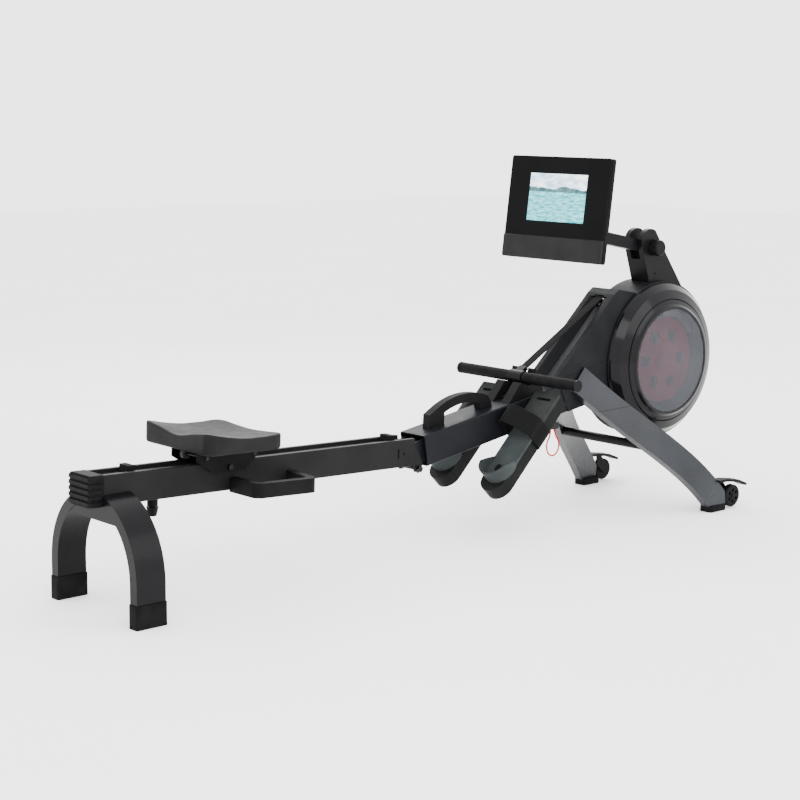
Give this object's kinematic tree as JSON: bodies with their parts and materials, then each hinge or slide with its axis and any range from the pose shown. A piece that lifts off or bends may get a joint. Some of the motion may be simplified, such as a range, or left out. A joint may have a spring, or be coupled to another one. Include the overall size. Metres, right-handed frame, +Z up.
{
  "type": "rowing machine",
  "caption": "Folding rowing machine with a sliding seat on a rail, foot rests with sliding heel cups, a strap-driven flywheel drum and a tilting screen on a mast.",
  "frame": {"origin": "middle of the footprint on the floor", "axes": "+X from the seat to the flywheel, +Y to the rower's left, +Z up"},
  "size_m": [2.228, 0.544, 1.0398],
  "materials": {
    "beam_paint": "satin",
    "rail_paint": "satin",
    "leg_paint": "gloss",
    "bare_steel": "brushed",
    "zinc_steel": "satin",
    "rubber": "matte",
    "grip_rubber": "matte",
    "roller_nylon": "satin",
    "black_plastic": "fine grain",
    "shroud_plastic": "fine grain",
    "gloss_black": "gloss",
    "smoked_window": "gloss",
    "flywheel_red": "gloss",
    "seat_vinyl": "soft matte",
    "heel_plastic": "satin",
    "toe_plastic": "satin",
    "webbing": "woven",
    "red_cord": "braided",
    "belt_rubber": "matte",
    "lcd": "gloss",
    "circuit": "matte",
    "knob_plastic": "satin"
  },
  "bodies": {
    "frame": {"main_beam": "beam_paint", "beam_hinge_plates": "beam_paint", "beam_brackets": "beam_paint", "carry_handle": "black_plastic", "handle_cradle": "black_plastic", "shroud_left": "shroud_plastic", "shroud_right": "shroud_plastic", "drum_shell_left": "shroud_plastic", "drum_shell_right": "shroud_plastic", "drum_rings": "gloss_black", "drum_windows": "smoked_window", "drum_frame_plates": "zinc_steel", "flywheel_bearings": "bare_steel", "return_spring_case": "zinc_steel", "drive_belt": "belt_rubber", "magnet_brake": "zinc_steel", "console_mast": "black_plastic", "front_leg_left": "leg_paint", "front_leg_right": "leg_paint", "cross_tube": "leg_paint", "front_foot_pads": "rubber", "wheel_brackets": "black_plastic", "foot_boards": "black_plastic", "toe_plates": "toe_plastic", "foot_straps": "webbing", "drive_strap": "webbing"},
    "rail": {"seat_rail": "rail_paint", "rail_end_cap": "black_plastic", "rail_side_handle": "black_plastic", "rail_stops": "rubber", "rail_hinge_plates": "rail_paint", "hinge_pin": "zinc_steel", "latch_housing": "black_plastic", "rear_arch": "leg_paint", "rear_foot_caps": "rubber"},
    "seat": {"seat_carriage": "black_plastic", "carriage_axles": "bare_steel", "seat_pad": "seat_vinyl"},
    "rear_rollers": {"rear_seat_rollers": "roller_nylon"},
    "front_rollers": {"front_seat_rollers": "roller_nylon"},
    "handle": {"handle_bar": "bare_steel", "handle_grips": "grip_rubber"},
    "spool": {"strap_spool": "bare_steel"},
    "idler": {"strap_idler": "bare_steel"},
    "flywheel": {"flywheel": "flywheel_red"},
    "arm": {"console_arm": "black_plastic"},
    "console": {"console_rear_shell": "black_plastic", "console_tilt_pin": "zinc_steel", "console_front_glass": "gloss_black", "lcd_screen": "lcd", "console_circuit_board": "circuit", "console_control_bar": "gloss_black"},
    "knob": {"mast_knob": "knob_plastic"},
    "wheel_left": {"transport_wheel_left": "rubber"},
    "wheel_right": {"transport_wheel_right": "rubber"},
    "heel_left": {"heel_cup_left": "heel_plastic"},
    "heel_right": {"heel_cup_right": "heel_plastic"},
    "latch": {"latch_knob": "knob_plastic"},
    "pin": {"release_pin": "bare_steel", "pull_loop_cord": "red_cord"}
  },
  "joints": [
    {"name": "rail_fold", "type": "hinge", "parent": "frame", "child": "rail", "pos_m": [-0.086, 0, 0.222], "axis": [0, 1, 0], "range_deg": [-100, 0]},
    {"name": "seat_slide", "type": "slide", "parent": "rail", "child": "seat", "axis": [0.9996, 0, -0.0297], "range_m": [-0.175, 0.465]},
    {"name": "rear_roller_spin", "type": "hinge", "parent": "seat", "child": "rear_rollers", "pos_m": [-0.78971, 0, 0.34023], "axis": [0, 1, 0], "continuous": true},
    {"name": "front_roller_spin", "type": "hinge", "parent": "seat", "child": "front_rollers", "pos_m": [-0.64677, 0, 0.33599], "axis": [0, 1, 0], "continuous": true},
    {"name": "handle_pull", "type": "slide", "parent": "frame", "child": "handle", "axis": [-0.9397, 0, 0.342], "range_m": [0, 1], "stiffness_N_per_m": 20, "springref_m": -0.5, "deforming": ["drive_strap"]},
    {"name": "spool_spin", "type": "hinge", "parent": "frame", "child": "spool", "pos_m": [0.758, 0, 0.47], "axis": [0, 1, 0], "continuous": true},
    {"name": "idler_spin", "type": "hinge", "parent": "frame", "child": "idler", "pos_m": [0.69, 0, 0.626], "axis": [0, 1, 0], "continuous": true},
    {"name": "flywheel_spin", "type": "hinge", "parent": "frame", "child": "flywheel", "pos_m": [0.88, 0, 0.436], "axis": [0, 1, 0], "continuous": true},
    {"name": "arm_swing", "type": "hinge", "parent": "frame", "child": "arm", "pos_m": [0.86, 0, 0.769], "axis": [0, 1, 0], "range_deg": [-15, 25]},
    {"name": "console_tilt", "type": "hinge", "parent": "arm", "child": "console", "pos_m": [0.506, 0, 0.835], "axis": [0, 1, 0], "range_deg": [-15, 20]},
    {"name": "knob_turn", "type": "hinge", "parent": "frame", "child": "knob", "pos_m": [0.86, 0, 0.769], "axis": [0, 1, 0], "continuous": true},
    {"name": "wheel_left_spin", "type": "hinge", "parent": "frame", "child": "wheel_left", "pos_m": [0.988, 0.256, 0.0365], "axis": [0, 1, 0], "continuous": true},
    {"name": "wheel_right_spin", "type": "hinge", "parent": "frame", "child": "wheel_right", "pos_m": [0.988, -0.256, 0.0365], "axis": [0, 1, 0], "continuous": true},
    {"name": "heel_left_adjust", "type": "slide", "parent": "frame", "child": "heel_left", "axis": [0.7071, 0, 0.7071], "range_m": [-0.055, 0.004]},
    {"name": "heel_right_adjust", "type": "slide", "parent": "frame", "child": "heel_right", "axis": [0.7071, 0, 0.7071], "range_m": [-0.055, 0.004]},
    {"name": "latch_pull", "type": "slide", "parent": "rail", "child": "latch", "axis": [-0.0297, 0, -0.9996], "range_m": [0, 0.012], "stiffness_N_per_m": 500, "springref_m": -0.004},
    {"name": "pin_pull", "type": "slide", "parent": "frame", "child": "pin", "axis": [0, -1, 0], "range_m": [0, 0.1]}
  ],
  "couplings": [
    {"joint": "rear_roller_spin", "follows": "seat_slide", "rad_per_m": 72.993},
    {"joint": "front_roller_spin", "follows": "seat_slide", "rad_per_m": 72.993},
    {"joint": "spool_spin", "follows": "handle_pull", "rad_per_m": -28.571},
    {"joint": "idler_spin", "follows": "handle_pull", "rad_per_m": -66.667}
  ]
}
